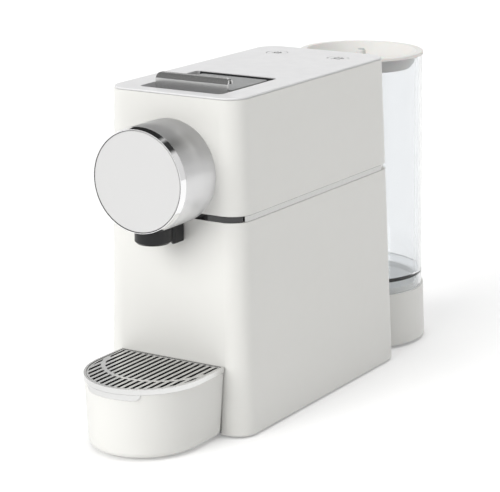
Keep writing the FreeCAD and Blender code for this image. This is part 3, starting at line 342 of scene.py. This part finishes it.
def swept(profile, low, high):
    """A bmesh of a closed (y, z) profile drawn along X."""
    builder = bmesh.new()
    ends = [[builder.verts.new((x, y, z)) for y, z in profile] for x in (low, high)]
    for k in range(len(profile)):
        builder.faces.new((ends[0][k - 1], ends[0][k], ends[1][k], ends[1][k - 1]))
    builder.faces.new(ends[0][::-1])
    builder.faces.new(ends[1])
    bmesh.ops.recalc_face_normals(builder, faces=builder.faces)
    return builder


def gap_shade_strip():
    """A black strip with a soft bead on the rear wall of the lever's recess: painted shade of the
    gap.
    """
    panel_low, panel_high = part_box("top_panel")
    lever_low, lever_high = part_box("lever")
    side_gap, rear_gap = 2.4 * MM, 2.5 * MM      # from the lever to the walls of its recess
    thick, bead_deep, bead_high = 0.5 * MM, 0.28 * MM, 0.3 * MM
    wall = lever_high[1] + rear_gap
    front = wall - thick
    foot = panel_low[2] + 2.5 * MM
    brow = panel_high[2] - 0.5 * MM - bead_high
    middle = front + 0.05 * MM
    turns = [math.radians(turn) for turn in range(0, 181, 30)]
    bead = [(middle + bead_deep * math.cos(a), brow + bead_high * math.sin(a)) for a in turns]
    profile = [(wall, foot), (wall, brow), *bead, (front, foot)]
    strip = swept(profile, lever_low[0] - side_gap, lever_high[0] + side_gap)
    # the black strip is painted shade: it stands for the shade in the gap behind the lever
    piece("gap_shade_strip", strip, "machine", "rubber_black")


def turned_piece(name, profile, x, y, body, slot):
    """A piece of revolution about a vertical axis at x, y, from (radius, height) points."""
    builder = bmesh.new()
    turns = [2 * math.pi * k / TURNED_STEPS for k in range(TURNED_STEPS)]
    rings = []
    for radius, height in profile:
        spots = turns if radius else turns[:1]
        rings.append([builder.verts.new((x + radius * math.cos(a), y + radius * math.sin(a), height))
                      for a in spots])
    for one, two in zip(rings, rings[1:]):
        for k in range(TURNED_STEPS):
            n = (k + 1) % TURNED_STEPS
            corners = (one[k % len(one)], one[n % len(one)], two[n % len(two)], two[k % len(two)])
            builder.faces.new(list(dict.fromkeys(corners)))
    bmesh.ops.recalc_face_normals(builder, faces=builder.faces)
    for face in builder.faces:
        face.smooth = True
    piece(name, builder, body, slot)


def knob_shade_cap():
    """A small rounded cap on the lid's knob; its grey is painted shade, for the shade seen on the
    knob.
    """
    low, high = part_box("tank_lid")
    top = high[2]
    profile = [(radius * MM, top + rise * MM) for radius, rise in CAP_PROFILE]
    # the cap's grey is painted shade: it stands for the shade on the lid's knob
    turned_piece("knob_shade_cap", profile, (low[0] + high[0]) / 2, (low[1] + high[1]) / 2, "lid",
                 "grey_plastic")


cup_icon("left", tall=False)
cup_icon("right", tall=True)
# painted shade: a black strip for the shade in the gap behind the lever
gap_shade_strip()
# a rounded cap on the lid's knob, grey as painted shade of the knob
knob_shade_cap()


# ---------------------------------------------------------------- floor, light and camera

FLOOR_TONE, FLOOR_GLOW = 0.8, 0.18


def floor():
    """A plain white floor with a faint glow of its own."""
    made = bpy.data.materials.new("floor_white")
    made.use_nodes = True
    tree = Tree(made.node_tree)
    shader = tree.add("ShaderNodeBsdfPrincipled")
    output = tree.add("ShaderNodeOutputMaterial")
    tree.feed(output.inputs["Surface"], shader.outputs["BSDF"])
    shader.inputs["Base Color"].default_value = (FLOOR_TONE, FLOOR_TONE, FLOOR_TONE, 1.0)
    shader.inputs["Roughness"].default_value = 0.9
    shader.inputs["Specular IOR Level"].default_value = 0.1
    shader.inputs["Emission Color"].default_value = (1.0, 1.0, 1.0, 1.0)
    shader.inputs["Emission Strength"].default_value = FLOOR_GLOW
    bpy.ops.mesh.primitive_plane_add(size=16.0, location=(0, 0, 0))
    plane = bpy.context.object
    plane.name = "floor"
    plane.data.materials.append(made)


SKY = 0.18               # the soft light from all round that falls on surfaces
ROOM = 0.86              # the pale studio that gloss and metal reflect
HIGH_FRONT_DARK, REAR_LEFT_DARK, FLAG_DARK = 0.78, 0.97, 0.95   # shares of light the gaps take away


def band(tree, value, start, full, end, off):
    """1 between full and end, and 0 outside start and off."""
    fade = tree.ramp(value, end, off, 1.0, 0.0)
    return tree.math("MULTIPLY", tree.ramp(value, start, full), fade)


def world():
    """A pale studio: soft light on surfaces, and softboxes with dark gaps in reflections.

    x, y and z are the direction that a ray leaves in, with z up and -y towards the front.
    """
    made = bpy.data.worlds.new("studio")
    bpy.context.scene.world = made
    made.use_nodes = True
    tree = Tree(made.node_tree)
    split = tree.add("ShaderNodeSeparateXYZ")
    tree.feed(split.inputs[0], tree.add("ShaderNodeTexCoord").outputs["Generated"])
    x, y, z = split.outputs
    room = tree.ramp(x, -0.9, 0.9, ROOM * 1.08, ROOM * 0.92)       # a little brighter on the left
    high_front = tree.math("MULTIPLY", tree.ramp(y, 0.18, 0.34, 1.0, 0.0), tree.ramp(z, 0.3, 0.46))
    rear_left = tree.math("MULTIPLY", band(tree, y, 0.5, 0.56, 0.70, 0.78), tree.ramp(z, 0.22, 0.34))
    rear_left = tree.math("MULTIPLY", rear_left, tree.ramp(x, 0.0, 0.2, 1.0, 0.0))
    lean = tree.math("ARCTAN2", x, z)           # how far the ray leans from up towards the right
    flag = tree.math("MULTIPLY", band(tree, lean, 0.05, 0.3, 0.56, 0.76), tree.ramp(y, -0.5, -0.2))
    dark = tree.math("MULTIPLY", high_front, HIGH_FRONT_DARK)
    dark = tree.math("MAXIMUM", dark, tree.math("MULTIPLY", rear_left, REAR_LEFT_DARK))
    dark = tree.math("MAXIMUM", dark, tree.math("MULTIPLY", flag, FLAG_DARK))
    seen = tree.math("MULTIPLY", room, tree.math("SUBTRACT", 1.0, dark))
    soft = tree.add("ShaderNodeBackground")
    soft.inputs["Color"].default_value = (1.0, 1.0, 1.0, 1.0)
    soft.inputs["Strength"].default_value = SKY
    studio = tree.add("ShaderNodeBackground")
    studio.inputs["Color"].default_value = (1.0, 0.998, 0.994, 1.0)
    tree.feed(studio.inputs["Strength"], seen)
    mix = tree.add("ShaderNodeMixShader")
    tree.feed(mix.inputs[0], tree.add("ShaderNodeLightPath").outputs["Is Diffuse Ray"])
    tree.feed(mix.inputs[1], studio.outputs["Background"])
    tree.feed(mix.inputs[2], soft.outputs["Background"])
    output = tree.add("ShaderNodeOutputWorld")
    tree.feed(output.inputs["Surface"], mix.outputs["Shader"])


# name, direction towards the lamp, width of its disc in degrees, strength, colour
LAMPS = (
    ("overhead", (0.0, 0.1, 1.0), 60, 1.9, (1.0, 1.0, 1.0)),
    ("key", (-0.22, -0.87, 0.4), 46, 2.7, (1.0, 0.995, 0.98)),
    ("fill", (0.85, 0.45, 0.33), 60, 0.6, (1.0, 0.99, 0.97)),
)


def lamps():
    """Large soft lamps: one overhead, one in front on the left, a weak one at the back right."""
    for name, towards, width, strength, colour in LAMPS:
        lamp = bpy.data.lights.new(name, "SUN")
        lamp.energy = strength
        lamp.angle = math.radians(width)
        lamp.color = colour
        sun = bpy.data.objects.new(name, lamp)
        bpy.context.collection.objects.link(sun)
        sun.rotation_euler = Vector(towards).to_track_quat("Z", "Y").to_euler()
        sun.visible_glossy = False


AZIMUTH, ELEVATION, ROLL = 31.6504, 14.4769, -0.1624      # degrees
DISTANCE = 1.45541
LENS, SENSOR = 145.045, 36.0
TARGET = Vector((0.000832, -0.0214, 0.108188))


def camera():
    """A long lens that looks at TARGET from AZIMUTH, counted from the front towards +X."""
    lens = bpy.data.cameras.new("camera")
    lens.lens, lens.sensor_width, lens.sensor_fit = LENS, SENSOR, "HORIZONTAL"
    lens.clip_start, lens.clip_end = 0.05, 40.0
    az, el, roll = (math.radians(angle) for angle in (AZIMUTH, ELEVATION, ROLL))
    back = Vector((math.cos(el) * math.sin(az), -math.cos(el) * math.cos(az), math.sin(el)))
    right = Vector((math.cos(az), math.sin(az), 0.0))
    up = back.cross(right)
    across = right * math.cos(roll) + up * math.sin(roll)
    upward = up * math.cos(roll) - right * math.sin(roll)
    turned = Matrix((across, upward, back)).transposed().to_4x4()
    eye = bpy.data.objects.new("camera", lens)
    bpy.context.collection.objects.link(eye)
    eye.matrix_world = Matrix.Translation(TARGET + back * DISTANCE) @ turned
    bpy.context.scene.camera = eye


floor()
world()
lamps()
camera()
bpy.context.scene.view_settings.view_transform = "Standard"
